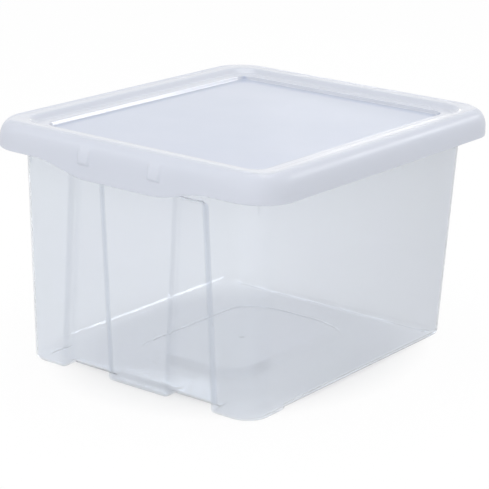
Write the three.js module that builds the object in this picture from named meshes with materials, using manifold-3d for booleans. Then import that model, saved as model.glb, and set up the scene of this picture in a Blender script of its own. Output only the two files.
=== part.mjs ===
// Clear plastic storage box with a loose lift-off lid: two separate thin-walled mouldings.
// Millimetres, +Z up. The origin is the middle of the footprint, on the surface the box stands on.
// +X runs along the long side and +Y across the box.

import * as THREE from 'three';
import { mergeVertices } from 'three/addons/utils/BufferGeometryUtils.js';
import Module from 'manifold-3d';

const wasm = await Module();
wasm.setup();

// Tub body, outside sizes: it tapers from the mouth down to the base
const baseLength = 408.5;
const baseWidth = 330;
const baseCornerRadius = 30;
const mouthLength = 429;
const mouthWidth = 347;
const mouthCornerRadius = 32;
const tubHeight = 284.7;
const wallThickness = 2;
const edgeRadius = 5.5;

// Pillars and channels on the short end at -X; the other end is plain
const channelDepth = 11.5;
const middlePillarSetback = 3;
const middlePillarWidthLow = 76;
const middlePillarWidthHigh = 101;
const cornerPillarFlatLow = 24.5;
const cornerPillarFlatHigh = 46;
const channelHeadroom = 26.7;
const channelTopRun = 10;
const channelSideAngle = 90;
const channelBendRadius = 2.6;
const channelEdgeRadius = 9;

// Feet: the pillars reach lower than the rest of the base
const footHeight = 3;
const footWidth = 10;
const footSideRun = 8;
const footWrap = 28;
const footEndRun = 3;
const rearFootTurn = 35;

// Raised middle of the floor, and the level strip that runs round it inside the feet
const floorStrip = 4;
const floorBorder = 80;
const plateauCornerRadius = 52;
const plateauHeight = 7;
const plateauRun = 16;

// Rim of the tub: the wall flares out to a level land and turns down into a lip
const rimFlareRun = 11;
const rimFlareHeight = 16;
const rimLand = 1.5;
const rimEdgeRadius = 5;
const rimLipDepth = 31.5;
const cornerSpread = 0.55;

// Stop ribs inside the corners, just below the rim
const stopRibThickness = 1.6;
const stopRibReach = 3;
const stopRibDepth = 33;

// Lid
const lidThickness = 2;
const lidPlay = 6;
const seatClearance = 0.3;
const skirtDepth = 31;
const skirtRoundHeight = 22;
const crownWidth = 13;
const innerSlopeRun = 9;
const innerSlopeDrop = 6.5;
const ledgeWidth = 13;
const panelStepRun = 2.5;
const panelStepDrop = 4;
const panelCornerRadius = 14;

// The lid's skirt hangs lower in the middle of each short end
const endDrop = 13.5;
const endDropWidth = 88;
const endDropMargin = 31;

// Raised bosses on the skirt, two on each short end
const bossSpacing = 98;
const bossWidth = 19;
const bossReach = 3;
const bossLift = 2.5;
const bossTopTurn = 40;

// Steps in the curves
const cornerSteps = 6;
const bendSteps = 2;
const edgeSteps = 3;
const fadeSteps = 4;
const flareSteps = 4;
const slopeSteps = 4;
const dropSteps = 6;
const plateauSteps = 3;

// Heights and reaches that follow from the sizes above
const mouthLevel = tubHeight - rimFlareHeight;
const channelTop = mouthLevel - channelHeadroom;
const lipBottom = tubHeight - rimLipDepth;
const rimLandEnd = rimFlareRun + rimLand;
const rimReach = rimLandEnd + rimEdgeRadius;
const lidReach = rimReach + lidPlay + lidThickness;
const crownLevel = tubHeight + seatClearance + lidThickness;
const skirtBottom = crownLevel - skirtDepth;
const smallestRadius = 1;
const roundestShare = 0.9;

const { lerp, degToRad } = THREE.MathUtils;
const quarterTurn = Math.PI / 2;

// Smooth rise from 0 to 1, level at both ends
function smooth(share) {
  return (1 - Math.cos(Math.PI * share)) / 2;
}

// Whole numbers from 0 to count
function countTo(count) {
  return Array.from({ length: count + 1 }, (_, index) => index);
}

// Stations round a rounded rectangle, anticlockwise seen from above.
// The stops of an end are given for y above zero and side stops for the whole side; cornerFoot tells which
// part of a corner stands on a foot.
function stationsRound(endStopsAt, sideStops, cornerFoot) {
  const endUp = (signX) => [
    ...endStopsAt(signX).map((stop) => ({ ...stop, kind: 'end', signX, mirror: -1 })).reverse(),
    ...endStopsAt(signX).map((stop) => ({ ...stop, kind: 'end', signX, mirror: 1 })),
  ];
  const corner = (signX, signY, startAngle) => countTo(cornerSteps).map((step) => {
    const angle = startAngle + (quarterTurn * step) / cornerSteps;
    return { kind: 'corner', signX, signY, angle, foot: cornerFoot(signX, angle), channelShare: 0, drop: 0 };
  });
  const side = (signY) => sideStops.map((stop) => ({ ...stop, kind: 'side', signY }));
  return [
    ...endUp(1),
    ...corner(1, 1, 0),
    ...side(1).reverse(),
    ...corner(-1, 1, quarterTurn),
    ...endUp(-1).reverse(),
    ...corner(-1, -1, 2 * quarterTurn),
    ...side(-1),
    ...corner(1, -1, 3 * quarterTurn),
  ];
}

// Place of one station on a rounded rectangle. Stops on the straight runs close up where a run is short.
function stationPoint(station, { halfLength, halfWidth, radius, z, lean = 0, channel = 0 }) {
  const runX = halfLength - radius;
  const runY = halfWidth - radius;
  if (station.kind === 'corner') {
    const x = station.signX * runX + radius * Math.cos(station.angle);
    const y = station.signY * runY + radius * Math.sin(station.angle);
    return new THREE.Vector3(x, y, z);
  }
  if (station.kind === 'side') {
    const squeeze = Math.min(1, runX / station.fullRun);
    return new THREE.Vector3(station.x * squeeze, station.signY * halfWidth, z);
  }
  const squeeze = Math.min(1, runY / station.fullRun);
  const y = station.mirror * lerp(station.low, station.high, lean) * squeeze;
  return new THREE.Vector3(station.signX * (halfLength - channel * station.depth), y, z);
}

// Moves each point of a ring inward in plan, square to the ring
function shrink(ring, distance) {
  const count = ring.length;
  const edgeNormal = (from, to) => new THREE.Vector2(from.y - to.y, to.x - from.x).normalize();
  return ring.map((point, index) => {
    const before = edgeNormal(ring[(index + count - 1) % count], point);
    const after = edgeNormal(point, ring[(index + 1) % count]);
    const move = before.clone().add(after).multiplyScalar(distance / (1 + before.dot(after)));
    return new THREE.Vector3(point.x + move.x, point.y + move.y, point.z);
  });
}

// Closed solid skinned over a run of rings, with a point in the middle at each end
function skinSolid(rings) {
  const count = rings[0].length;
  const positions = [];
  const triangles = [];
  rings.flat().forEach((point) => positions.push(point.x, point.y, point.z));
  for (let ring = 0; ring + 1 < rings.length; ring++) {
    for (let index = 0; index < count; index++) {
      const next = (index + 1) % count;
      const low = ring * count;
      const high = low + count;
      triangles.push(low + index, low + next, high + next);
      triangles.push(low + index, high + next, high + index);
    }
  }
  const first = positions.length / 3;
  const last = first + 1;
  const top = (rings.length - 1) * count;
  positions.push(0, 0, rings[0][0].z);
  positions.push(0, 0, rings[rings.length - 1][0].z);
  for (let index = 0; index < count; index++) {
    const next = (index + 1) % count;
    triangles.push(first, next, index);
    triangles.push(last, top + index, top + next);
  }
  const geometry = new THREE.BufferGeometry();
  geometry.setAttribute('position', new THREE.Float32BufferAttribute(positions, 3));
  geometry.setIndex(triangles);
  return geometry;
}

// Exchange with the solid library, which joins the small ribs and bosses to the shells
function toSolid(geometry) {
  const bare = geometry.clone();
  bare.deleteAttribute('normal');
  bare.deleteAttribute('uv');
  const merged = mergeVertices(bare);
  const mesh = new wasm.Mesh({
    numProp: 3,
    vertProperties: new Float32Array(merged.attributes.position.array),
    triVerts: new Uint32Array(merged.index.array),
  });
  return new wasm.Manifold(mesh);
}

function joined(geometries) {
  const solid = geometries.map(toSolid).reduce((whole, piece) => whole.add(piece));
  const mesh = solid.getMesh();
  const geometry = new THREE.BufferGeometry();
  geometry.setAttribute('position', new THREE.Float32BufferAttribute(mesh.vertProperties, mesh.numProp));
  geometry.setIndex(Array.from(mesh.triVerts));
  geometry.computeVertexNormals();
  return geometry;
}

// Upright plate: the outline's x points outward along the heading and its y points up.
function standingPlate(outlinePoints, thickness, heading, at) {
  const geometry = new THREE.ExtrudeGeometry(new THREE.Shape(outlinePoints), {
    depth: thickness,
    bevelEnabled: false,
  });
  geometry.translate(0, 0, -thickness / 2);
  geometry.rotateX(quarterTurn);
  geometry.rotateZ(heading);
  geometry.translate(at.x, at.y, at.z);
  return geometry;
}

// Side of a channel, from a pillar's face to the channel's floor: two bends with a straight between
function channelSide(fromDepth) {
  const bend = degToRad(channelSideAngle);
  const rise = channelDepth - fromDepth;
  const bendRise = 1 - Math.cos(bend);
  const radius = Math.min(channelBendRadius, rise / (2 * bendRise));
  const straight = (rise - 2 * radius * bendRise) / Math.sin(bend);
  const run = 2 * radius * Math.sin(bend) + straight * Math.cos(bend);
  const out = countTo(bendSteps).map((step) => {
    const turn = (bend * step) / bendSteps;
    return { run: radius * Math.sin(turn), rise: radius * (1 - Math.cos(turn)) };
  });
  const back = out.map((stop) => ({ run: run - stop.run, rise: rise - stop.rise })).reverse();
  return [...out, ...back].map((stop) => {
    const channelShare = stop.rise / rise;
    return { run: stop.run, depth: fromDepth + stop.rise, channelShare, foot: 1 - channelShare, drop: 0 };
  });
}

// Stations of the tub: channel sides on one end, and the ends of the wrapped feet on the long sides.
// The plain end has no stops of its own: one foot runs across it from corner to corner.
function makeTubStations() {
  const endRun = baseWidth / 2 - baseCornerRadius;
  const endRunHigh = mouthWidth / 2 - mouthCornerRadius;
  const sideRun = baseLength / 2 - baseCornerRadius;
  const middleSide = channelSide(middlePillarSetback).map((stop) => ({
    ...stop,
    low: middlePillarWidthLow / 2 + stop.run,
    high: middlePillarWidthHigh / 2 + stop.run,
    fullRun: endRun,
  }));
  const cornerSide = channelSide(0).map((stop) => ({
    ...stop,
    low: endRun - cornerPillarFlatLow - stop.run,
    high: endRunHigh - cornerPillarFlatHigh - stop.run,
    fullRun: endRun,
  }));
  const footEnd = footWrap - sideRun;
  const sideStops = [
    { x: footEnd, foot: 1, channelShare: 0, fullRun: sideRun },
    { x: footEnd + footEndRun, foot: 0, channelShare: 0, fullRun: sideRun },
  ];
  const cornerFoot = (signX, angle) => {
    const fromEnd = Math.abs(Math.asin(Math.sin(angle)));
    return signX < 0 || fromEnd < degToRad(rearFootTurn) ? 1 : 0;
  };
  const channelStops = [...middleSide, ...cornerSide.reverse()];
  return stationsRound((signX) => (signX < 0 ? channelStops : []), sideStops, cornerFoot);
}

const tubStations = makeTubStations();

// Ring on the tub's tapered outer face; z and inward may differ from station to station
function bodyRing(zAt, inwardAt, channel) {
  return tubStations.map((station) => {
    const z = zAt(station);
    const inward = inwardAt(station);
    const taper = z / mouthLevel;
    const radius = lerp(baseCornerRadius, mouthCornerRadius, taper) - inward;
    return stationPoint(station, {
      halfLength: lerp(baseLength, mouthLength, taper) / 2 - inward,
      halfWidth: lerp(baseWidth, mouthWidth, taper) / 2 - inward,
      radius: Math.max(radius, smallestRadius),
      z,
      lean: Math.min(1, z / channelTop),
      channel,
    });
  });
}

// Height of the underside and radius of the lower edge at a station
function standAt(station) {
  return footHeight * (1 - station.foot);
}

function edgeAt(station) {
  return lerp(edgeRadius, channelEdgeRadius, station.channelShare);
}

// Outlines of the rim and the lid share one family, so both keep the same gap all the way round
function familyRadius(reach) {
  return Math.max(mouthCornerRadius + cornerSpread * reach, smallestRadius);
}

function rimRing(reach, z) {
  return tubStations.map((station) => stationPoint(station, {
    halfLength: mouthLength / 2 + reach,
    halfWidth: mouthWidth / 2 + reach,
    radius: familyRadius(reach),
    z,
    lean: 1,
  }));
}

function raise(ring, amount) {
  return ring.map((point) => point.clone().setZ(point.z + amount));
}

// Floor from the middle outward: plateau, level strip, flat border and the inner step of the feet
function floorRings(skin) {
  const plateau = countTo(plateauSteps).map((step) => {
    const share = step / plateauSteps;
    const inward = floorBorder + plateauRun * (1 - share);
    const halfWidth = baseWidth / 2 - inward;
    const radius = Math.min(plateauCornerRadius - plateauRun * (1 - share), roundestShare * halfWidth);
    return tubStations.map((station) => stationPoint(station, {
      halfLength: baseLength / 2 - inward,
      halfWidth,
      radius: Math.max(radius, smallestRadius),
      z: footHeight + plateauHeight * smooth(1 - share),
    }));
  });
  const footInside = footWidth + footSideRun;
  const stripInward = edgeRadius + footInside + floorStrip;
  const strip = tubStations.map((station) => stationPoint(station, {
    halfLength: baseLength / 2 - channelEdgeRadius - channelDepth - footInside - floorStrip,
    halfWidth: baseWidth / 2 - stripInward,
    radius: Math.max(baseCornerRadius - stripInward, smallestRadius),
    z: footHeight,
  }));
  const border = bodyRing(() => footHeight, (station) => edgeAt(station) + footInside, 1);
  const footEdge = bodyRing(standAt, (station) => edgeAt(station) + footWidth, 1);
  return [...plateau, strip, border, footEdge].map((ring) => raise(ring, skin));
}

// Round between the base and the walls, wider at the foot of the channels
function edgeRings(skin) {
  return countTo(edgeSteps).map((step) => {
    const turn = (quarterTurn * step) / edgeSteps;
    const zAt = (station) => standAt(station) + edgeAt(station) * (1 - Math.cos(turn));
    const inwardAt = (station) => edgeAt(station) * (1 - Math.sin(turn));
    const outside = bodyRing(zAt, inwardAt, 1);
    return raise(shrink(outside, skin * Math.sin(turn)), skin * Math.cos(turn));
  });
}

// Wall from the top of the channels, which close there, up to the mouth
function wallRings(skin) {
  const shelfTilt = Math.atan2(channelDepth, channelTopRun);
  const lift = skin * Math.tan(shelfTilt / 2);
  const fade = countTo(fadeSteps).map((step) => {
    const share = step / fadeSteps;
    const z = channelTop - channelTopRun * (1 - share);
    return raise(bodyRing(() => z, () => 0, 1 - smooth(share)), lift);
  });
  const mouth = bodyRing(() => mouthLevel, () => 0, 0);
  return [...fade, mouth].map((ring) => shrink(ring, skin));
}

// Rim: out under the flare, round the lip and back over the top
function rimRings() {
  const steps = countTo(flareSteps).slice(1);
  const underFlare = steps.map((step) => {
    const turn = (quarterTurn * step) / flareSteps;
    const z = mouthLevel + (rimFlareHeight - wallThickness) * Math.sin(turn);
    return rimRing(rimFlareRun * (1 - Math.cos(turn)), z);
  });
  const overFlare = steps.map((step) => {
    const turn = (quarterTurn * step) / flareSteps;
    const reach = rimFlareRun - (rimFlareRun + wallThickness) * Math.cos(turn);
    return rimRing(reach, mouthLevel + rimFlareHeight * Math.sin(turn));
  });
  const roundEdge = (radius) => countTo(edgeSteps).map((step) => {
    const turn = (quarterTurn * step) / edgeSteps;
    const z = tubHeight - rimEdgeRadius + radius * Math.sin(turn);
    return rimRing(rimLandEnd + radius * Math.cos(turn), z);
  });
  return [
    ...underFlare,
    ...roundEdge(rimEdgeRadius - wallThickness).reverse(),
    rimRing(rimReach - wallThickness, lipBottom),
    rimRing(rimReach, lipBottom),
    ...roundEdge(rimEdgeRadius),
    ...overFlare.reverse(),
  ];
}

// Stop rib in a corner: a thin plate on the inner face of the wall
function stopRib(signX, signY) {
  const wallAt = (z) => {
    const taper = z / mouthLevel;
    const radius = lerp(baseCornerRadius, mouthCornerRadius, taper);
    const middle = radius - wallThickness / 2;
    const x = lerp(baseLength, mouthLength, taper) / 2 - radius + middle * Math.SQRT1_2;
    const y = lerp(baseWidth, mouthWidth, taper) / 2 - radius + middle * Math.SQRT1_2;
    return new THREE.Vector2(x, y);
  };
  const low = mouthLevel - stopRibDepth;
  const top = wallAt(mouthLevel);
  const lean = top.distanceTo(wallAt(low));
  const plate = wallThickness / 2 + stopRibReach;
  const outlinePoints = [
    new THREE.Vector2(-lean, low - mouthLevel),
    new THREE.Vector2(0, 0),
    new THREE.Vector2(-plate, 0),
    new THREE.Vector2(-plate - lean, low - mouthLevel),
  ];
  const at = new THREE.Vector3(signX * top.x, signY * top.y, mouthLevel);
  return standingPlate(outlinePoints, stopRibThickness, Math.atan2(signY, signX), at);
}

function makeTub() {
  const outside = [...floorRings(0), ...edgeRings(0), ...wallRings(0)];
  const inside = [...floorRings(wallThickness), ...edgeRings(wallThickness), ...wallRings(wallThickness)];
  const shell = skinSolid([...outside, ...rimRings(), ...inside.reverse()]);
  const ribs = [[1, 1], [-1, 1], [-1, -1], [1, -1]].map(([signX, signY]) => stopRib(signX, signY));
  return joined([shell, ...ribs]);
}

// Stations of the lid: the sweep of the lower skirt on each end
function makeLidStations() {
  const fullRun = mouthWidth / 2 + lidReach - familyRadius(lidReach);
  const endStops = countTo(dropSteps).map((step) => {
    const share = step / dropSteps;
    const y = lerp(endDropWidth / 2, fullRun - endDropMargin, share);
    return { low: y, high: y, depth: 0, foot: 0, channelShare: 0, drop: 1 - smooth(share), fullRun };
  });
  return stationsRound(() => endStops, [], () => 0);
}

const lidStations = makeLidStations();

// Section of the lid's upper face, from the foot of the skirt inward to the edge of the panel
function lidSection() {
  const roundRun = lidReach - rimLandEnd;
  const round = countTo(edgeSteps * 2).map((step) => {
    const turn = (quarterTurn * step) / (edgeSteps * 2);
    const z = crownLevel - skirtRoundHeight * (1 - Math.sin(turn));
    return { reach: rimLandEnd + roundRun * Math.cos(turn), z };
  });
  const slopeStart = rimLandEnd - crownWidth;
  const slope = countTo(slopeSteps).map((step) => {
    const share = step / slopeSteps;
    const z = crownLevel - innerSlopeDrop * smooth(share);
    return { reach: slopeStart - innerSlopeRun * share, z };
  });
  const ledgeEnd = slopeStart - innerSlopeRun - ledgeWidth;
  const ledgeLevel = crownLevel - innerSlopeDrop;
  return [
    { reach: lidReach, z: skirtBottom, skirtFoot: true },
    ...round,
    ...slope,
    { reach: ledgeEnd, z: ledgeLevel, radius: panelCornerRadius + panelStepRun },
    { reach: ledgeEnd - panelStepRun, z: ledgeLevel - panelStepDrop, radius: panelCornerRadius },
  ];
}

// Section moved square to itself by the lid's thickness, towards the inside of the lid
function underSection(section) {
  const normal = (from, to) => new THREE.Vector2(from.z - to.z, to.reach - from.reach).normalize();
  return section.map((point, index) => {
    const after = index + 1 < section.length ? normal(point, section[index + 1]) : new THREE.Vector2(0, -1);
    const before = index > 0 ? normal(section[index - 1], point) : after;
    const move = before.clone().add(after).multiplyScalar(lidThickness / (1 + before.dot(after)));
    return { ...point, reach: point.reach + move.x, z: point.z + move.y };
  });
}

function lidRing({ reach, z, radius = familyRadius(reach), skirtFoot = false }) {
  return lidStations.map((station) => stationPoint(station, {
    halfLength: mouthLength / 2 + reach,
    halfWidth: mouthWidth / 2 + reach,
    radius,
    z: skirtFoot ? z - endDrop * station.drop : z,
  }));
}

// Boss on the end of the lid: it stands out from the skirt and runs out into the round above
function endBoss(signX, signY) {
  const roundRun = lidReach - rimLandEnd;
  const roundLevel = crownLevel - skirtRoundHeight;
  const bossBottom = skirtBottom + bossLift;
  const along = (step, grow) => {
    const turn = (degToRad(bossTopTurn) * step) / edgeSteps;
    const x = (roundRun + grow) * Math.cos(turn);
    return new THREE.Vector2(x, (skirtRoundHeight + grow) * Math.sin(turn));
  };
  const buried = -lidThickness / 2;
  const front = countTo(edgeSteps).map((step) => along(step, bossReach * (1 - step / edgeSteps)));
  const back = countTo(edgeSteps).map((step) => along(step, buried)).reverse();
  const outlinePoints = [
    new THREE.Vector2(roundRun + buried, bossBottom - roundLevel),
    new THREE.Vector2(roundRun + bossReach, bossBottom - roundLevel),
    ...front,
    ...back,
  ];
  const at = new THREE.Vector3(signX * (mouthLength / 2 + rimLandEnd), signY * bossSpacing / 2, roundLevel);
  return standingPlate(outlinePoints, bossWidth, signX > 0 ? 0 : Math.PI, at);
}

function makeLid() {
  const upper = lidSection();
  const under = underSection(upper).reverse();
  const shell = skinSolid([...under, ...upper].map(lidRing));
  const bosses = [[1, 1], [-1, 1], [-1, -1], [1, -1]].map(([signX, signY]) => endBoss(signX, signY));
  return joined([shell, ...bosses]);
}

const clearPlastic = new THREE.MeshStandardMaterial({ color: 0xdfe5f0, roughness: 0.12, metalness: 0 });
const frostedPlastic = new THREE.MeshStandardMaterial({ color: 0xdce2ee, roughness: 0.45, metalness: 0 });

const tub = new THREE.Mesh(makeTub(), clearPlastic);
tub.name = 'tub';

const lid = new THREE.Mesh(makeLid(), frostedPlastic);
lid.name = 'lid';

const storageBox = new THREE.Group();
storageBox.name = 'storage_box';
storageBox.add(tub, lid);

export default storageBox;
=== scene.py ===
import math
from collections import namedtuple

import bmesh
import bpy
import numpy as np
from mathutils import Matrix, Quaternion, Vector


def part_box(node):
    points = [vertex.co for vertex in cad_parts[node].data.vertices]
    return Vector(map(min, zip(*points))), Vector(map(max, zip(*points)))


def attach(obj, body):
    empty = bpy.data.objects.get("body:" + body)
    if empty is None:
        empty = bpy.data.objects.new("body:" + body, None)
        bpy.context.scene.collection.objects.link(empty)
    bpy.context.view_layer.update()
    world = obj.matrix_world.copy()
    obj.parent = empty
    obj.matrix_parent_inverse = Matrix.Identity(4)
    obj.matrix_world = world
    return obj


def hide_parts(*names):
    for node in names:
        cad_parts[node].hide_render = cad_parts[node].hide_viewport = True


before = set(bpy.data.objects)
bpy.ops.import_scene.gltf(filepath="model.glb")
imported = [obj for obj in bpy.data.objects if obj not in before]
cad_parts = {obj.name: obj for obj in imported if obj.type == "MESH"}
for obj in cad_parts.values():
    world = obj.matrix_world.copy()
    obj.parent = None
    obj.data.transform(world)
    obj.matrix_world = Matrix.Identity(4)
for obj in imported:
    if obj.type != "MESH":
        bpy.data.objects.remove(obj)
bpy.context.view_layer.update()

# Sizes are in millimetres until a mesh is made
MM = 0.001
QUARTER_TURN = math.pi / 2
TUB_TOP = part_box("tub")[1] / MM
LID_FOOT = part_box("lid")[0] / MM
LID_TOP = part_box("lid")[1] / MM

# Rim of the tub, measured outward from the mouth
RIM_FLARE_RUN = 11
RIM_FLARE_HEIGHT = 16
RIM_LAND = 1.5
RIM_EDGE_RADIUS = 5
RIM_LIP_DEPTH = 31.5
RIM_LAND_END = RIM_FLARE_RUN + RIM_LAND
RIM_REACH = RIM_LAND_END + RIM_EDGE_RADIUS
LIP_FOOT = TUB_TOP.z - RIM_LIP_DEPTH

# Body of the tub, outside
MOUTH_HALF_LENGTH = TUB_TOP.x - RIM_REACH
MOUTH_HALF_WIDTH = TUB_TOP.y - RIM_REACH
MOUTH_RADIUS = 32
MOUTH_LEVEL = TUB_TOP.z - RIM_FLARE_HEIGHT
BASE_HALF_LENGTH = 204.25
BASE_HALF_WIDTH = 165
BASE_RADIUS = 30
WALL = 2
EDGE_RADIUS = 5.5
INNER_FLAT = 2.5
INNER_FLAT_LEAST = 0.25
INNER_FLAT_TURN = math.radians(54)
CORNER_SPREAD = 0.55
END_RUN_LOW = BASE_HALF_WIDTH - BASE_RADIUS
END_RUN_HIGH = MOUTH_HALF_WIDTH - MOUTH_RADIUS
SIDE_RUN_LOW = BASE_HALF_LENGTH - BASE_RADIUS
SIDE_RUN_HIGH = MOUTH_HALF_LENGTH - MOUTH_RADIUS

# Pillars and channels on the short end at -X, at the foot and at the head
CHANNEL_DEPTH = 11.5
CHANNEL_EDGE_RADIUS = 9
CHANNEL_HEADROOM = 26.7
CHANNEL_HEAD_RUN = 10
CHANNEL_TOP = MOUTH_LEVEL - CHANNEL_HEADROOM
CHANNEL_SIDE_ANGLE = QUARTER_TURN
CHANNEL_BEND_RADIUS = 2.6
MIDDLE_PILLAR_SETBACK = 3
MIDDLE_PILLAR_HALF_LOW = 38
MIDDLE_PILLAR_HALF_HIGH = 50.5
CORNER_PILLAR_FLAT_LOW = 24.5
CORNER_PILLAR_FLAT_HIGH = 46

# Feet and raised floor
FOOT_HEIGHT = 3
FOOT_WIDTH = 10
FOOT_SIDE_RUN = 8
FOOT_WRAP = 28
FOOT_END_RUN = 3
REAR_FOOT_TURN = (math.radians(30), math.radians(45))
FLOOR_STRIP = 4
FLOOR_BORDER = 80
PLATEAU_RADIUS = 52
PLATEAU_HEIGHT = 7
PLATEAU_RUN = 16
PLATEAU_ROUNDING = 0.125
GATE_RADIUS = 4
GATE_HEIGHT = 0.8

# Stop ribs inside the corners
RIB_THICKNESS = 1.6
RIB_REACH = 3
RIB_DRAFT = 0.2
RIB_DEPTH = 33
RIB_FOOT = MOUTH_LEVEL - RIB_DEPTH

# Lid, measured outward from the tub's mouth
LID_WALL = 2
LID_REACH = LID_TOP.y - MOUTH_HALF_WIDTH
CROWN_LEVEL = LID_TOP.z
SKIRT_DEPTH = 31
SKIRT_FOOT = CROWN_LEVEL - SKIRT_DEPTH
SKIRT_ROUND_HEIGHT = 22
CROWN_WIDTH = 13
CROWN_DOME = 0.5
INNER_SLOPE_RUN = 9
INNER_SLOPE_DROP = 6.5
LEDGE_WIDTH = 13
PANEL_STEP_RUN = 2.5
PANEL_STEP_DROP = 4
PANEL_STEP_ROUNDING = 0.25
PANEL_RADIUS = 14
LEDGE_REACH = RIM_LAND_END - CROWN_WIDTH - INNER_SLOPE_RUN
PANEL_REACH = LEDGE_REACH - LEDGE_WIDTH - PANEL_STEP_RUN
END_DROP = SKIRT_FOOT - LID_FOOT.z
END_DROP_HALF = 44
END_DROP_MARGIN = 31
BOSS_REACH = LID_TOP.x - MOUTH_HALF_LENGTH - LID_REACH
BOSS_MIDDLE = 49
BOSS_HALF_WIDTH = 9.5
BOSS_LIFT = 2.5
BOSS_TOP_TURN = math.radians(40)
BOSS_ROUND = 4

# Fineness of the meshes
CORNER_STEPS = 20
BEND_STEPS = 6
ROUND_STEPS = 8
FADE_STEPS = 10
PLAIN_END_STEPS = 6
BOSS_STEP = 0.8
SWEEP_STEP = 3
MIDDLE_STEP = 12
SUPPORT = 1.2
SMALLEST_RADIUS = 1

# A stop is one place on an outline: low and high on the wall of a straight run, or at an angle in a corner
STOP_FIELDS = "kind low high run angle depth share foot rib drop boss sign_x sign_y"
Stop = namedtuple("Stop", STOP_FIELDS, defaults=(0,) * STOP_FIELDS.count(" "))


def smooth(share):
    """Rise from 0 to 1 that is level at both ends."""
    return (1 - math.cos(math.pi * min(1, max(0, share)))) / 2


def bevel(share, rounding):
    """Straight rise from 0 to 1 with a rounding of this share at both ends."""
    if share > 0.5:
        return 1 - bevel(1 - share, rounding)
    bend = min(share, rounding)
    return (bend * bend / (2 * rounding) + share - bend) / (1 - rounding)


def mix(low, high, share):
    return low + (high - low) * share


def shares(count):
    return [step / count for step in range(count + 1)]


def turns(count, turn=QUARTER_TURN):
    return [turn * share for share in shares(count)]


def spread(low, high, spacing):
    return [mix(low, high, share) for share in shares(max(1, math.ceil((high - low) / spacing)))]


def outline(end_stops, side_stops, corner_stops):
    """Stops round a rounded rectangle, anticlockwise from above.

    The stops of an end are given from the middle outward, side stops along +X, and corner stops from the
    end to the side.
    """

    def end(sign_x):
        half = [stop._replace(sign_x=sign_x, sign_y=1) for stop in end_stops(sign_x)]
        return [stop._replace(sign_y=-1) for stop in reversed(half)] + half

    def side(sign_y):
        return [stop._replace(sign_y=sign_y) for stop in side_stops]

    def corner(sign_x, sign_y):
        return [stop._replace(sign_x=sign_x, sign_y=sign_y) for stop in corner_stops(sign_x)]

    right_and_back = end(1) + corner(1, 1) + side(1)[::-1] + corner(-1, 1)[::-1]
    left_and_front = end(-1)[::-1] + corner(-1, -1) + side(-1) + corner(1, -1)[::-1]
    return right_and_back + left_and_front


def place(stop, half_length, half_width, radius, lean=0, channel=0):
    """Plan position of a stop on a rounded rectangle; stops on a short run close up."""
    run_x = half_length - radius
    run_y = half_width - radius
    if stop.kind == "corner":
        x = run_x + radius * math.cos(stop.angle)
        y = run_y + radius * math.sin(stop.angle)
        return stop.sign_x * x, stop.sign_y * y
    along = mix(stop.low, stop.high, lean)
    if stop.kind == "side":
        return along * min(1, run_x / stop.run), stop.sign_y * half_width
    y = along * min(1, run_y / stop.run)
    return stop.sign_x * (half_length - channel * stop.depth), stop.sign_y * y


def inset(ring, distance):
    """Ring moved inward in plan, square to its own edges, by one distance or by one for each point."""
    edges = (np.roll(ring, -1, axis=0) - ring)[:, :2]
    after = np.stack([-edges[:, 1], edges[:, 0]], axis=1)
    after /= np.linalg.norm(after, axis=1)[:, None]
    before = np.roll(after, 1, axis=0)
    moved = ring.copy()
    moved[:, :2] += (before + after) * (distance / (1 + (before * after).sum(axis=1)))[:, None]
    return moved


def raised(ring, height):
    return ring + np.array([0, 0, height])


def loft(name, rings):
    """Closed mesh over a run of rings, with a level face at each end."""
    mesh = bmesh.new()
    loops = [[mesh.verts.new(Vector(point) * MM) for point in ring] for ring in rings]
    count = len(rings[0])
    for lower, upper in zip(loops, loops[1:]):
        for index in range(count):
            following = (index + 1) % count
            mesh.faces.new((lower[index], lower[following], upper[following], upper[index]))
    mesh.faces.new(loops[0][::-1])
    mesh.faces.new(loops[-1])
    for face in mesh.faces:
        face.smooth = True
    data = bpy.data.meshes.new(name)
    mesh.to_mesh(data)
    mesh.free()
    piece = bpy.data.objects.new(name, data)
    bpy.context.scene.collection.objects.link(piece)
    return piece


# Tub

def channel_side(from_depth):
    """Side of a channel as runs and depths, from the pillar's face to the channel's floor, and its rise."""
    rise = CHANNEL_DEPTH - from_depth
    bend_rise = 1 - math.cos(CHANNEL_SIDE_ANGLE)
    radius = min(CHANNEL_BEND_RADIUS, rise / (2 * bend_rise))
    straight = (rise - 2 * radius * bend_rise) / math.sin(CHANNEL_SIDE_ANGLE)
    run = 2 * radius * math.sin(CHANNEL_SIDE_ANGLE) + straight * math.cos(CHANNEL_SIDE_ANGLE)
    bend = [
        (radius * math.sin(turn), radius * (1 - math.cos(turn)))
        for turn in turns(BEND_STEPS, CHANNEL_SIDE_ANGLE)
    ]
    back = [(run - along, rise - deep) for along, deep in reversed(bend)]
    return [(-SUPPORT, 0), *bend, *back, (run + SUPPORT, rise)], rise


def channel_stops(from_depth, low, high, direction):
    profile, rise = channel_side(from_depth)
    return [
        Stop(
            kind="end",
            low=low + direction * along,
            high=high + direction * along,
            run=END_RUN_LOW,
            depth=from_depth + deep,
            share=deep / rise,
            foot=1 - deep / rise,
        )
        for along, deep in profile
    ]


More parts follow.
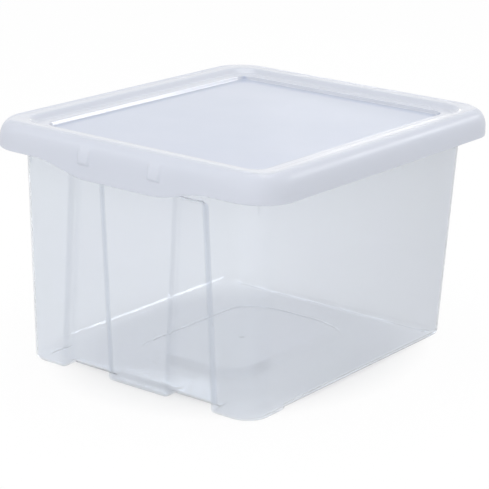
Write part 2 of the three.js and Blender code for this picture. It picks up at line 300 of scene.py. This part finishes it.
def tub_corner_stops(sign_x):
    """Corner of the tub, with the sides of its stop rib; a rear foot ends part of the way round."""
    half = RIB_THICKNESS / 2
    middle = QUARTER_TURN / 2
    rib_sides = [(-half - RIB_DRAFT, 0), (-half, 1), (half, 1), (half + RIB_DRAFT, 0)]
    rib_angles = [(middle + along / BASE_RADIUS, rib) for along, rib in rib_sides]
    half_step = QUARTER_TURN / CORNER_STEPS / 2
    plain_angles = [(turn, 0) for turn in turns(CORNER_STEPS) if abs(turn - middle) > half_step]
    rear_start, rear_end = REAR_FOOT_TURN
    stops = []
    for angle, rib in sorted(plain_angles + rib_angles):
        rear_foot = 1 - smooth((angle - rear_start) / (rear_end - rear_start))
        stops.append(Stop(kind="corner", angle=angle, rib=rib, foot=1 if sign_x < 0 else rear_foot))
    return stops


def tub_outline():
    """Stops of the tub: channel sides on one end, a plain other end, and the ends of the wrapped feet."""
    middle = channel_stops(MIDDLE_PILLAR_SETBACK, MIDDLE_PILLAR_HALF_LOW, MIDDLE_PILLAR_HALF_HIGH, 1)
    corner_low = END_RUN_LOW - CORNER_PILLAR_FLAT_LOW
    corner_high = END_RUN_HIGH - CORNER_PILLAR_FLAT_HIGH
    corner = channel_stops(0, corner_low, corner_high, -1)[::-1]
    last = Stop(kind="end", low=END_RUN_LOW - SUPPORT, high=END_RUN_HIGH - SUPPORT, run=END_RUN_LOW, foot=1)
    foot_end = FOOT_WRAP - SIDE_RUN_LOW
    foot_near = foot_end - SUPPORT
    side = [(SUPPORT - SIDE_RUN_LOW, SUPPORT - SIDE_RUN_HIGH, 1), (foot_near, foot_near, 1)]
    for share in shares(ROUND_STEPS):
        along = foot_end + FOOT_END_RUN * share
        side.append((along, along, 1 - smooth(share)))
    foot_clear = foot_end + FOOT_END_RUN + SUPPORT
    side += [(foot_clear, foot_clear, 0), (SIDE_RUN_LOW - SUPPORT, SIDE_RUN_HIGH - SUPPORT, 0)]
    side_stops = [
        Stop(kind="side", low=low, high=high, run=SIDE_RUN_LOW, foot=foot)
        for low, high, foot in side
    ]
    plain = [
        Stop(kind="end", low=END_RUN_LOW * share, high=END_RUN_HIGH * share, run=END_RUN_LOW, foot=1)
        for share in shares(PLAIN_END_STEPS)[1:-1]
    ]
    ends = {1: plain + [last], -1: middle + corner + [last]}
    return outline(lambda sign_x: ends[sign_x], side_stops, tub_corner_stops)


TUB_STOPS = tub_outline()
RIBS = np.array([stop.rib for stop in TUB_STOPS])


def stand(stop):
    """Height of the underside."""
    return FOOT_HEIGHT * (1 - stop.foot)


def edge(stop):
    """Radius of the lower edge, wider at the foot of a channel."""
    return mix(EDGE_RADIUS, CHANNEL_EDGE_RADIUS, stop.share)


def inner_flat(stop):
    """Width of the flat in the inner fillet: whole along the sides, least along the ends."""
    if stop.kind == "corner":
        return mix(INNER_FLAT_LEAST, INNER_FLAT, smooth(stop.angle / QUARTER_TURN))
    return INNER_FLAT if stop.kind == "side" else INNER_FLAT_LEAST


def body_ring(height, inward, channel=1):
    """Ring on the tapered outer face of the tub; height and inward are found for each stop."""
    points = []
    for stop in TUB_STOPS:
        z = height(stop)
        taper = z / MOUTH_LEVEL
        inner = inward(stop)
        half_length = mix(BASE_HALF_LENGTH, MOUTH_HALF_LENGTH, taper) - inner
        half_width = mix(BASE_HALF_WIDTH, MOUTH_HALF_WIDTH, taper) - inner
        radius = max(mix(BASE_RADIUS, MOUTH_RADIUS, taper) - inner, SMALLEST_RADIUS)
        x, y = place(stop, half_length, half_width, radius, min(1, z / CHANNEL_TOP), channel)
        points.append((x, y, z))
    return np.array(points)


def plateau_ring(inward, z):
    half_length = BASE_HALF_LENGTH - inward
    half_width = BASE_HALF_WIDTH - inward
    radius = PLATEAU_RADIUS + FLOOR_BORDER - inward
    return np.array([(*place(stop, half_length, half_width, radius), z) for stop in TUB_STOPS])


def gate_rings():
    """Small round nub that the moulding gate leaves in the middle of the underside, from its foot out."""
    level = FOOT_HEIGHT + PLATEAU_HEIGHT
    outward = plateau_ring(FLOOR_BORDER + PLATEAU_RUN, 0)[:, :2]
    outward /= np.linalg.norm(outward, axis=1)[:, None]
    section = [(GATE_RADIUS - GATE_HEIGHT / 2, level - GATE_HEIGHT), (GATE_RADIUS, level - GATE_HEIGHT / 2)]
    section += [(GATE_RADIUS, level), (GATE_RADIUS + SUPPORT, level)]
    return [np.insert(outward * radius, 2, z, axis=1) for radius, z in section]


def floor_rings(skin):
    """Floor from the middle outward: plateau, level strip and border, inner step of the feet."""
    border_level = FOOT_HEIGHT
    plateau_level = FOOT_HEIGHT + PLATEAU_HEIGHT
    rings = [plateau_ring(FLOOR_BORDER + PLATEAU_RUN + SUPPORT, plateau_level)]
    for share in shares(2 * ROUND_STEPS):
        height = mix(plateau_level, border_level, bevel(share, PLATEAU_ROUNDING))
        rings.append(plateau_ring(FLOOR_BORDER + PLATEAU_RUN * (1 - share), height))
    rings.append(plateau_ring(FLOOR_BORDER - SUPPORT, border_level))
    foot_inside = FOOT_WIDTH + FOOT_SIDE_RUN
    strip_length = BASE_HALF_LENGTH - CHANNEL_EDGE_RADIUS - CHANNEL_DEPTH - foot_inside - FLOOR_STRIP
    strip_inward = EDGE_RADIUS + foot_inside + FLOOR_STRIP
    strip_size = (strip_length, BASE_HALF_WIDTH - strip_inward, BASE_RADIUS - strip_inward)
    rings.append(np.array([(*place(stop, *strip_size), border_level) for stop in TUB_STOPS]))
    rings.append(body_ring(lambda stop: border_level, lambda stop: edge(stop) + foot_inside + SUPPORT))
    for share in shares(ROUND_STEPS):
        rings.append(
            body_ring(
                lambda stop: mix(border_level, stand(stop), smooth(share)),
                lambda stop: edge(stop) + foot_inside - FOOT_SIDE_RUN * share,
            )
        )
    flat_run = math.cos(INNER_FLAT_TURN) if skin else 0
    rings.append(body_ring(stand, lambda stop: edge(stop) + FOOT_WIDTH - SUPPORT))
    rings.append(body_ring(stand, lambda stop: edge(stop) + SUPPORT + flat_run * inner_flat(stop)))
    return [raised(ring, skin) for ring in rings]


def edge_rings(skin):
    """Round between the base and the walls; on the inside it has a narrow flat part of the way up."""
    half_steps = ROUND_STEPS // 2
    flat_run = math.cos(INNER_FLAT_TURN) if skin else 0
    flat_rise = math.sin(INNER_FLAT_TURN) if skin else 0
    arc = [(turn, flat_run, 0) for turn in turns(half_steps, INNER_FLAT_TURN)]
    upper_turns = turns(half_steps, QUARTER_TURN - INNER_FLAT_TURN)
    arc += [(INNER_FLAT_TURN + turn, 0, flat_rise) for turn in upper_turns[0 if skin else 1:]]
    rings = []
    for turn, run, rise in arc:
        ring = body_ring(
            lambda stop: stand(stop) + rise * inner_flat(stop) + (edge(stop) - skin) * (1 - math.cos(turn)),
            lambda stop: run * inner_flat(stop) + (edge(stop) - skin) * (1 - math.sin(turn)),
        )
        rings.append(raised(inset(ring, skin), skin))
    above = body_ring(
        lambda stop: stand(stop) + flat_rise * inner_flat(stop) + edge(stop) - skin + SUPPORT,
        lambda stop: 0,
    )
    return rings + [raised(inset(above, skin), skin)]


def wall_rings(skin):
    """Wall with the heads of the channels, up to the mouth; the inner face carries the stop ribs."""
    lift = skin * math.tan(math.atan2(CHANNEL_DEPTH, CHANNEL_HEAD_RUN) / 2)
    head_foot = CHANNEL_TOP - CHANNEL_HEAD_RUN
    heads = [(head_foot - SUPPORT, 1)]
    heads += [(mix(head_foot, CHANNEL_TOP, share), 1 - smooth(share)) for share in shares(FADE_STEPS)]
    heads += [(CHANNEL_TOP + SUPPORT, 0), (MOUTH_LEVEL - RIB_DRAFT - lift, 0), (MOUTH_LEVEL - lift, 0)]
    rings = []
    for z, channel in heads:
        height = z + lift
        rib = RIB_REACH if skin and RIB_FOOT < height < MOUTH_LEVEL else 0
        rings.append(inset(body_ring(lambda stop: height, lambda stop: 0, channel), skin + RIBS * rib))
    return rings


def family_radius(reach):
    """Corner radius of the outlines that the rim and the lid share, so that their gap is even all round."""
    return MOUTH_RADIUS + CORNER_SPREAD * reach


def rim_ring(reach, z):
    half_length = MOUTH_HALF_LENGTH + reach
    half_width = MOUTH_HALF_WIDTH + reach
    radius = family_radius(reach)
    return np.array([(*place(stop, half_length, half_width, radius, 1), z) for stop in TUB_STOPS])


def rim_rings():
    """Rim from under the flare, round the lip and back over the top."""
    flare = turns(ROUND_STEPS)[1:]
    under_height = RIM_FLARE_HEIGHT - WALL
    section = [
        (RIM_FLARE_RUN * (1 - math.cos(turn)), MOUTH_LEVEL + under_height * math.sin(turn))
        for turn in flare
    ]
    edge_level = TUB_TOP.z - RIM_EDGE_RADIUS

    def round_edge(radius):
        return [
            (RIM_LAND_END + radius * math.cos(turn), edge_level + radius * math.sin(turn))
            for turn in turns(ROUND_STEPS)
        ]

    lip_radius = WALL / 2
    section += round_edge(RIM_EDGE_RADIUS - WALL)[::-1]
    for turn in turns(ROUND_STEPS, math.pi):
        reach = RIM_REACH - lip_radius * (1 + math.cos(turn))
        section.append((reach, LIP_FOOT + lip_radius * (1 - math.sin(turn))))
    section += round_edge(RIM_EDGE_RADIUS)
    over_run = RIM_FLARE_RUN + WALL
    section += [
        (RIM_FLARE_RUN - over_run * math.cos(turn), MOUTH_LEVEL + RIM_FLARE_HEIGHT * math.sin(turn))
        for turn in reversed(flare)
    ]
    return [rim_ring(reach, z) for reach, z in section]


def make_tub():
    outside = gate_rings() + floor_rings(0) + edge_rings(0) + wall_rings(0)
    inside = floor_rings(WALL) + edge_rings(WALL) + wall_rings(WALL)
    return loft("tub_moulding", outside + rim_rings() + inside[::-1])


# Lid

def lid_outline():
    """Stops of the lid: the sweep of the lower skirt and the two bosses on each end."""
    run = MOUTH_HALF_WIDTH + LID_REACH - family_radius(LID_REACH)
    sweep_end = run - END_DROP_MARGIN
    boss_low = BOSS_MIDDLE - BOSS_HALF_WIDTH
    boss_high = BOSS_MIDDLE + BOSS_HALF_WIDTH
    places = spread(SWEEP_STEP / 2, boss_low - SUPPORT, MIDDLE_STEP)
    places += spread(boss_low, boss_high, BOSS_STEP)
    places += spread(boss_high + SUPPORT, run - SUPPORT, SWEEP_STEP)
    stops = []
    for y in places:
        drop = 1 - smooth((y - END_DROP_HALF) / (sweep_end - END_DROP_HALF))
        boss = smooth((BOSS_HALF_WIDTH - abs(y - BOSS_MIDDLE)) / BOSS_ROUND)
        stops.append(Stop(kind="end", low=y, high=y, run=run, drop=drop, boss=boss))
    side_run = MOUTH_HALF_LENGTH + LID_REACH - family_radius(LID_REACH)
    side_places = [SUPPORT - side_run, 0, side_run - SUPPORT]
    side = [Stop(kind="side", low=x, high=x, run=side_run) for x in side_places]
    corner = [Stop(kind="corner", angle=turn) for turn in turns(CORNER_STEPS)]
    return outline(lambda sign_x: stops, side, lambda sign_x: corner)


LID_STOPS = lid_outline()
Level = namedtuple("Level", "reach z radius boss hangs", defaults=(None, 0, False))


def lid_section():
    """Upper face of the lid from the outside of the skirt's foot inward to the edge of the panel."""
    foot_round = LID_WALL / 2
    boss_foot = SKIRT_FOOT + BOSS_LIFT
    round_level = CROWN_LEVEL - SKIRT_ROUND_HEIGHT
    levels = [Level(LID_REACH, SKIRT_FOOT + foot_round, hangs=True), Level(LID_REACH, boss_foot - SUPPORT)]
    for share in shares(BEND_STEPS):
        levels.append(Level(LID_REACH, boss_foot + BOSS_ROUND * share, boss=smooth(share)))
    round_run = LID_REACH - RIM_LAND_END
    for turn in turns(2 * ROUND_STEPS):
        reach = RIM_LAND_END + round_run * math.cos(turn)
        z = round_level + SKIRT_ROUND_HEIGHT * math.sin(turn)
        levels.append(Level(reach, z, boss=max(0, 1 - turn / BOSS_TOP_TURN)))
    slope_start = RIM_LAND_END - CROWN_WIDTH
    slope_end = slope_start - INNER_SLOPE_RUN
    for share in shares(ROUND_STEPS)[1:-1]:
        z = CROWN_LEVEL - CROWN_DOME * share * share
        levels.append(Level(mix(RIM_LAND_END, slope_start, share), z))
    slope_drop = INNER_SLOPE_DROP - CROWN_DOME
    for share in shares(2 * ROUND_STEPS):
        drop = CROWN_DOME + slope_drop * smooth(share)
        levels.append(Level(mix(slope_start, slope_end, share), CROWN_LEVEL - drop))
    ledge_level = CROWN_LEVEL - INNER_SLOPE_DROP
    ledge_end = slope_end - LEDGE_WIDTH
    ledge_radius = PANEL_RADIUS + PANEL_STEP_RUN
    levels.append(Level(ledge_end + SUPPORT, ledge_level, ledge_radius + SUPPORT))
    for share in shares(ROUND_STEPS):
        along = PANEL_STEP_RUN * share
        z = ledge_level - PANEL_STEP_DROP * bevel(share, PANEL_STEP_ROUNDING)
        levels.append(Level(ledge_end - along, z, ledge_radius - along))
    panel_edge = ledge_end - PANEL_STEP_RUN
    levels.append(Level(panel_edge - SUPPORT, ledge_level - PANEL_STEP_DROP, PANEL_RADIUS - SUPPORT))
    return levels


def under_section(levels):
    """The section moved by the lid's thickness: square to itself round the rim, and down inside it."""
    points = np.array([(level.reach, level.z) for level in levels])
    along = np.diff(points, axis=0)
    normals = np.stack([-along[:, 1], along[:, 0]], axis=1) / np.linalg.norm(along, axis=1)[:, None]
    before = np.vstack([normals[:1], normals])
    after = np.vstack([normals, [[0, -1]]])
    moved = points + (before + after) * (LID_WALL / (1 + (before * after).sum(axis=1)))[:, None]
    inside = points[:, 0] < RIM_LAND_END
    moved[inside] = points[inside] - np.array([0, LID_WALL])
    return [level._replace(reach=reach, z=z, boss=0) for level, (reach, z) in zip(levels, moved)]


def lid_ring(level):
    half_length = MOUTH_HALF_LENGTH + level.reach
    half_width = MOUTH_HALF_WIDTH + level.reach
    radius = level.radius or family_radius(level.reach)
    points = []
    for stop in LID_STOPS:
        x, y = place(stop, half_length, half_width, radius)
        x += stop.sign_x * BOSS_REACH * stop.boss * level.boss
        points.append((x, y, level.z - END_DROP * stop.drop * level.hangs))
    return np.array(points)


def make_lid():
    upper = lid_section()
    under = under_section(upper)
    middle = (upper[0].reach + under[0].reach) / 2
    foot_round = LID_WALL / 2
    foot = [
        Level(middle - foot_round * math.cos(turn), upper[0].z - foot_round * math.sin(turn), hangs=True)
        for turn in turns(ROUND_STEPS, math.pi)[1:-1]
    ]
    return loft("lid_moulding", [lid_ring(level) for level in under[::-1] + foot + upper])


# Materials: each tint is a pair of colours that soft clouds blend

CLEAR_TINT = ((0.89, 0.917, 0.937), (0.89, 0.903, 0.945))
CLEAR_DEPTH_COLOUR = (0.68, 0.74, 0.83, 1)
RIM_TINT = ((0.64, 0.675, 0.755), (0.665, 0.69, 0.765))
PANEL_TINT = ((0.49, 0.545, 0.685), (0.51, 0.565, 0.695))
WHITE = (1, 1, 1, 1)
STREAK_STRETCH = (1, 1, 0.06)
SCUFF_STRETCH = (0.12, 0.5, 1.6)
NOISE_LOW = 0.3
NOISE_HIGH = 0.7


def new_material(name):
    material = bpy.data.materials.new(name)
    material.use_nodes = True
    material.node_tree.nodes.clear()
    return material, material.node_tree


def add_node(tree, kind, values=None, **settings):
    node = tree.nodes.new(kind)
    for key, value in settings.items():
        setattr(node, key, value)
    for key, value in (values or {}).items():
        node.inputs[key].default_value = value
    return node


def moulding_marks():
    """Shared marks of a moulded surface: soft clouds, streaks of flow down the walls, and scuffs."""
    group = bpy.data.node_groups.new("moulding marks", "ShaderNodeTree")
    for name in ("Cloud Scale", "Streak Scale"):
        group.interface.new_socket(name, in_out="INPUT", socket_type="NodeSocketFloat")
    for name in ("Cloud", "Streak", "Scuff"):
        group.interface.new_socket(name, in_out="OUTPUT", socket_type="NodeSocketFloat")
    link = group.links.new
    given = add_node(group, "NodeGroupInput")
    made = add_node(group, "NodeGroupOutput")
    place_on = add_node(group, "ShaderNodeTexCoord").outputs["Object"]

    def noise(coordinates, scale, detail, roughness):
        node = add_node(group, "ShaderNodeTexNoise", {"Detail": detail, "Roughness": roughness})
        link(coordinates, node.inputs["Vector"])
        link(scale, node.inputs["Scale"])
        return node.outputs["Fac"]

    def stretched(factors):
        node = add_node(group, "ShaderNodeMapping", {"Scale": factors})
        link(place_on, node.inputs["Vector"])
        return node.outputs["Vector"]

    clouds = noise(place_on, given.outputs["Cloud Scale"], detail=3, roughness=0.5)
    streaks = noise(stretched(STREAK_STRETCH), given.outputs["Streak Scale"], detail=2, roughness=0.6)
    scratches = noise(stretched(SCUFF_STRETCH), given.outputs["Streak Scale"], detail=4, roughness=0.65)
    link(clouds, made.inputs["Cloud"])
    link(streaks, made.inputs["Streak"])
    thin = add_node(group, "ShaderNodeMapRange", {"From Min": 0.66, "From Max": 0.74})
    link(scratches, thin.inputs["Value"])
    link(thin.outputs["Result"], made.inputs["Scuff"])
    return group


def marks_in(tree, group, values):
    node = add_node(tree, "ShaderNodeGroup", node_tree=group)
    for key, value in values.items():
        node.inputs[key].default_value = value
    return node.outputs


def ranged(tree, value, low, high):
    """A noise or a mask turned into a range of values."""
    node = add_node(tree, "ShaderNodeMapRange", {
        "From Min": NOISE_LOW,
        "From Max": NOISE_HIGH,
        "To Min": low,
        "To Max": high,
    })
    tree.links.new(value, node.inputs["Value"])
    return node.outputs["Result"]


def total(tree, first, second):
    node = add_node(tree, "ShaderNodeMath", operation="ADD")
    tree.links.new(first, node.inputs[0])
    tree.links.new(second, node.inputs[1])
    return node.outputs[0]


def tinted(tree, value, tint):
    """A colour between the two of a tint."""
    low, high = tint
    node = add_node(tree, "ShaderNodeMix", data_type="RGBA")
    node.inputs["A"].default_value = (*low, 1)
    node.inputs["B"].default_value = (*high, 1)
    tree.links.new(value, node.inputs["Factor"])
    return node.outputs["Result"]


def bumped(tree, height, distance, strength):
    node = add_node(tree, "ShaderNodeBump", {"Strength": strength, "Distance": distance})
    tree.links.new(height, node.inputs["Height"])
    return node.outputs["Normal"]


def clear_plastic(group):
    """Clear polypropylene: streaks of flow and scuffs, and a blue tint that grows with thickness."""
    material, tree = new_material("clear polypropylene")
    link = tree.links.new
    marks = marks_in(tree, group, {"Cloud Scale": 9.0, "Streak Scale": 55.0})
    surface = add_node(tree, "ShaderNodeBsdfPrincipled", {
        "IOR": 1.04,
        "Transmission Weight": 0.92,
        "Coat Weight": 1.0,
        "Coat Roughness": 0.03,
    })
    link(tinted(tree, marks["Cloud"], CLEAR_TINT), surface.inputs["Base Color"])
    streak_rough = ranged(tree, marks["Streak"], low=0.06, high=0.12)
    scuff_rough = ranged(tree, marks["Scuff"], low=0, high=0.1)
    link(total(tree, streak_rough, scuff_rough), surface.inputs["Roughness"])
    waves = total(tree, marks["Cloud"], ranged(tree, marks["Streak"], low=0, high=0.1))
    link(bumped(tree, waves, distance=0.0004, strength=0.3), surface.inputs["Normal"])
    depth = add_node(tree, "ShaderNodeVolumeAbsorption", {"Color": CLEAR_DEPTH_COLOUR, "Density": 20.0})
    output = add_node(tree, "ShaderNodeOutputMaterial")
    link(surface.outputs["BSDF"], output.inputs["Surface"])
    link(depth.outputs["Volume"], output.inputs["Volume"])
    return material


def inside_mask(tree, reach, fade):
    """1 inside an outline of the lid, given by its reach from the tub's mouth, falling to 0 outside it."""
    place_on = add_node(tree, "ShaderNodeTexCoord").outputs["Object"]
    sides = add_node(tree, "ShaderNodeVectorMath", operation="ABSOLUTE")
    beyond = add_node(tree, "ShaderNodeVectorMath", operation="SUBTRACT")
    beyond.inputs[1].default_value = ((MOUTH_HALF_LENGTH + reach) * MM, (MOUTH_HALF_WIDTH + reach) * MM, 0)
    axes = add_node(tree, "ShaderNodeSeparateXYZ")
    further = add_node(tree, "ShaderNodeMath", operation="MAXIMUM")
    inside = add_node(tree, "ShaderNodeMapRange", {"From Min": fade * MM, "From Max": 0})
    tree.links.new(place_on, sides.inputs[0])
    tree.links.new(sides.outputs["Vector"], beyond.inputs[0])
    tree.links.new(beyond.outputs["Vector"], axes.inputs[0])
    tree.links.new(axes.outputs["X"], further.inputs[0])
    tree.links.new(axes.outputs["Y"], further.inputs[1])
    tree.links.new(further.outputs[0], inside.inputs["Value"])
    return inside.outputs["Result"]


def frosted_plastic(group):
    """Frosted polypropylene: a milky, softly shining rim round a glossier, slightly bluer panel."""
    material, tree = new_material("frosted polypropylene")
    link = tree.links.new
    marks = marks_in(tree, group, {"Cloud Scale": 12.0})
    surface = add_node(tree, "ShaderNodeBsdfPrincipled", {
        "IOR": 1.49,
        "Transmission Weight": 0.2,
        "Specular IOR Level": 0.25,
        "Coat Roughness": 0.08,
    })
    on_panel = inside_mask(tree, PANEL_REACH - PANEL_STEP_RUN, PANEL_STEP_RUN)
    within_crown = inside_mask(tree, RIM_LAND_END - CROWN_WIDTH / 2, CROWN_WIDTH / 4)
    colour = add_node(tree, "ShaderNodeMix", data_type="RGBA")
    link(on_panel, colour.inputs["Factor"])
    link(tinted(tree, marks["Cloud"], RIM_TINT), colour.inputs["A"])
    link(tinted(tree, marks["Cloud"], PANEL_TINT), colour.inputs["B"])
    link(colour.outputs["Result"], surface.inputs["Base Color"])
    link(within_crown, surface.inputs["Coat Weight"])
    link(ranged(tree, marks["Cloud"], low=0.32, high=0.42), surface.inputs["Roughness"])
    link(bumped(tree, marks["Cloud"], distance=0.0008, strength=0.25), surface.inputs["Normal"])
    output = add_node(tree, "ShaderNodeOutputMaterial")
    link(surface.outputs["BSDF"], output.inputs["Surface"])
    return material


# Stage, in metres: white floor and surroundings, soft lamps, camera

FLOOR_SIZE = 12
FLOOR_GAP = 0.0005
FLOOR_COLOUR = (0.9, 0.9, 0.9, 1)
BACKGROUND_LIGHT = 0.8
SEEN_FLOOR_GLOW = 0.95
COVERED_FLOOR_GLOW = 0.56
COVERED_SHARE = 0.9
CLEAR_SHARE = 1.3
# Painted shade: the floor's glow is dimmed towards SHADE_SIDE, for rays through the clear plastic only
SHADE_SIDE = (0.58, -0.81, 0)
SHADE_START = 0.02
SHADE_END = 0.3
SHADE_DEPTH = 0.24
LAMP_TARGET = Vector((0, 0, 0.15))


def seen_directly(tree):
    """1 for rays from the camera, mirrors and clear plastic, 0 for the rays that only carry light."""
    path = add_node(tree, "ShaderNodeLightPath")
    mirrored = add_node(tree, "ShaderNodeMath", operation="MAXIMUM")
    seen = add_node(tree, "ShaderNodeMath", operation="MAXIMUM")
    tree.links.new(path.outputs["Is Camera Ray"], mirrored.inputs[0])
    tree.links.new(path.outputs["Is Glossy Ray"], mirrored.inputs[1])
    tree.links.new(mirrored.outputs[0], seen.inputs[0])
    tree.links.new(path.outputs["Is Transmission Ray"], seen.inputs[1])
    return seen.outputs[0]


def make_surroundings():
    world = bpy.data.worlds.new("white surroundings")
    world.use_nodes = True
    tree = world.node_tree
    tree.nodes.clear()
    strength = add_node(tree, "ShaderNodeMapRange", {"To Min": BACKGROUND_LIGHT, "To Max": 1.0})
    background = add_node(tree, "ShaderNodeBackground", {"Color": WHITE})
    output = add_node(tree, "ShaderNodeOutputWorld")
    tree.links.new(seen_directly(tree), strength.inputs["Value"])
    tree.links.new(strength.outputs["Result"], background.inputs["Strength"])
    tree.links.new(background.outputs[0], output.inputs["Surface"])
    bpy.context.scene.world = world


def make_floor():
    """White floor, which glows less under the box, where it keeps the shadow.

    Seen through the clear plastic its glow also carries a painted shade towards one side, a soft stand-in
    for the box's shadow.
    """
    material, tree = new_material("white floor")
    link = tree.links.new
    place_on = add_node(tree, "ShaderNodeTexCoord").outputs["Object"]
    footprint = add_node(tree, "ShaderNodeMapping", vector_type="TEXTURE")
    footprint.inputs["Scale"].default_value = (BASE_HALF_LENGTH * MM, BASE_HALF_WIDTH * MM, 1)
    away = add_node(tree, "ShaderNodeVectorMath", operation="LENGTH")
    clear_of_box = add_node(tree, "ShaderNodeMapRange", {
        "From Min": COVERED_SHARE,
        "From Max": CLEAR_SHARE,
        "To Min": COVERED_FLOOR_GLOW,
        "To Max": SEEN_FLOOR_GLOW,
    })
    share = add_node(tree, "ShaderNodeMath", operation="MULTIPLY")
    # Painted shade in the glow towards one side, seen only through the clear plastic, in place of the box's
    # cast shadow
    aside = add_node(tree, "ShaderNodeVectorMath", operation="DOT_PRODUCT")
    aside.inputs[1].default_value = SHADE_SIDE
    painted_shade = add_node(tree, "ShaderNodeMapRange", {
        "From Min": SHADE_START,
        "From Max": SHADE_END,
        "To Max": SHADE_DEPTH,
    })
    path = add_node(tree, "ShaderNodeLightPath")
    shade = add_node(tree, "ShaderNodeMath", operation="MULTIPLY")
    lit = add_node(tree, "ShaderNodeMath", operation="SUBTRACT")
    lit.inputs[0].default_value = 1
    diffuse = add_node(tree, "ShaderNodeBsdfDiffuse", {"Color": FLOOR_COLOUR})
    glow = add_node(tree, "ShaderNodeEmission", {"Color": WHITE})
    blend = add_node(tree, "ShaderNodeMixShader")
    output = add_node(tree, "ShaderNodeOutputMaterial")
    link(place_on, footprint.inputs["Vector"])
    link(footprint.outputs["Vector"], away.inputs[0])
    link(away.outputs["Value"], clear_of_box.inputs["Value"])
    link(clear_of_box.outputs["Result"], share.inputs[0])
    link(seen_directly(tree), share.inputs[1])
    link(share.outputs[0], blend.inputs[0])
    link(place_on, aside.inputs[0])
    link(aside.outputs["Value"], painted_shade.inputs["Value"])
    link(painted_shade.outputs["Result"], shade.inputs[0])
    link(path.outputs["Is Transmission Ray"], shade.inputs[1])
    link(shade.outputs[0], lit.inputs[1])
    link(lit.outputs[0], glow.inputs["Strength"])
    link(diffuse.outputs[0], blend.inputs[1])
    link(glow.outputs[0], blend.inputs[2])
    link(blend.outputs[0], output.inputs["Surface"])
    half = FLOOR_SIZE / 2
    data = bpy.data.meshes.new("floor")
    plan = [(-half, -half), (half, -half), (half, half), (-half, half)]
    data.from_pydata([(x, y, -FLOOR_GAP) for x, y in plan], [], [range(len(plan))])
    data.materials.append(material)
    floor = bpy.data.objects.new("floor", data)
    bpy.context.scene.collection.objects.link(floor)


def make_lamp(name, direction, distance, width, height, power):
    """Oblong soft lamp that looks at the middle of the box."""
    lamp = bpy.data.lights.new(name, "AREA")
    lamp.shape = "RECTANGLE"
    lamp.size = width
    lamp.size_y = height
    lamp.energy = power
    holder = bpy.data.objects.new(name, lamp)
    towards = Vector(direction).normalized()
    holder.location = LAMP_TARGET + towards * distance
    holder.rotation_euler = towards.to_track_quat("Z", "Y").to_euler()
    bpy.context.scene.collection.objects.link(holder)


# Camera, in pixels and millimetres as measured on the photograph's frame
PICTURE_SIDE = 489
FOCAL_PIXELS = 1923.65
VIEW_AZIMUTH = math.radians(-54.25)
VIEW_ELEVATION = math.radians(16.8)
VIEW_DISTANCE = 2307.8
VIEW_TARGET = Vector((10.98, 11.96, 121.1))
VIEW_ROLL = math.radians(2.1)
VIEW_SHIFT = 1.8
SENSOR_WIDTH = 36


def make_camera():
    camera = bpy.data.cameras.new("camera")
    camera.sensor_width = SENSOR_WIDTH
    camera.lens = SENSOR_WIDTH * FOCAL_PIXELS / PICTURE_SIDE
    camera.shift_x = VIEW_SHIFT / PICTURE_SIDE
    level = math.cos(VIEW_ELEVATION)
    back = Vector((
        math.sin(VIEW_AZIMUTH) * level,
        -math.cos(VIEW_AZIMUTH) * level,
        math.sin(VIEW_ELEVATION),
    ))
    holder = bpy.data.objects.new("camera", camera)
    holder.location = (VIEW_TARGET + back * VIEW_DISTANCE) * MM
    turn = back.to_track_quat("Z", "Y") @ Quaternion((0, 0, 1), VIEW_ROLL)
    holder.rotation_euler = turn.to_euler()
    bpy.context.scene.collection.objects.link(holder)
    bpy.context.scene.camera = holder


def dress(piece, node, material):
    piece.data.materials.append(material)
    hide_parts(node)
    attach(piece, node)


marks_group = moulding_marks()
dress(make_tub(), "tub", clear_plastic(marks_group))
dress(make_lid(), "lid", frosted_plastic(marks_group))
make_surroundings()
make_floor()
make_lamp("lamp_right", (0.777, -0.45, 0.45), distance=2.4, width=0.9, height=0.35, power=9)
make_lamp("lamp_left", (-0.635, 0.57, 0.52), distance=1.54, width=0.055, height=0.2, power=1.2)
make_lamp("lamp_back", (0.867, 0.499, 0.16), distance=2.2, width=0.34, height=0.14, power=0.5)
make_lamp("lamp_above", (0, 0, 1), distance=2.0, width=1.6, height=1.6, power=13)
make_lamp("lamp_front", (-0.9, -0.3, 0.36), distance=1.8, width=1.6, height=1.6, power=8)
make_camera()
bpy.context.scene.view_settings.view_transform = "Standard"
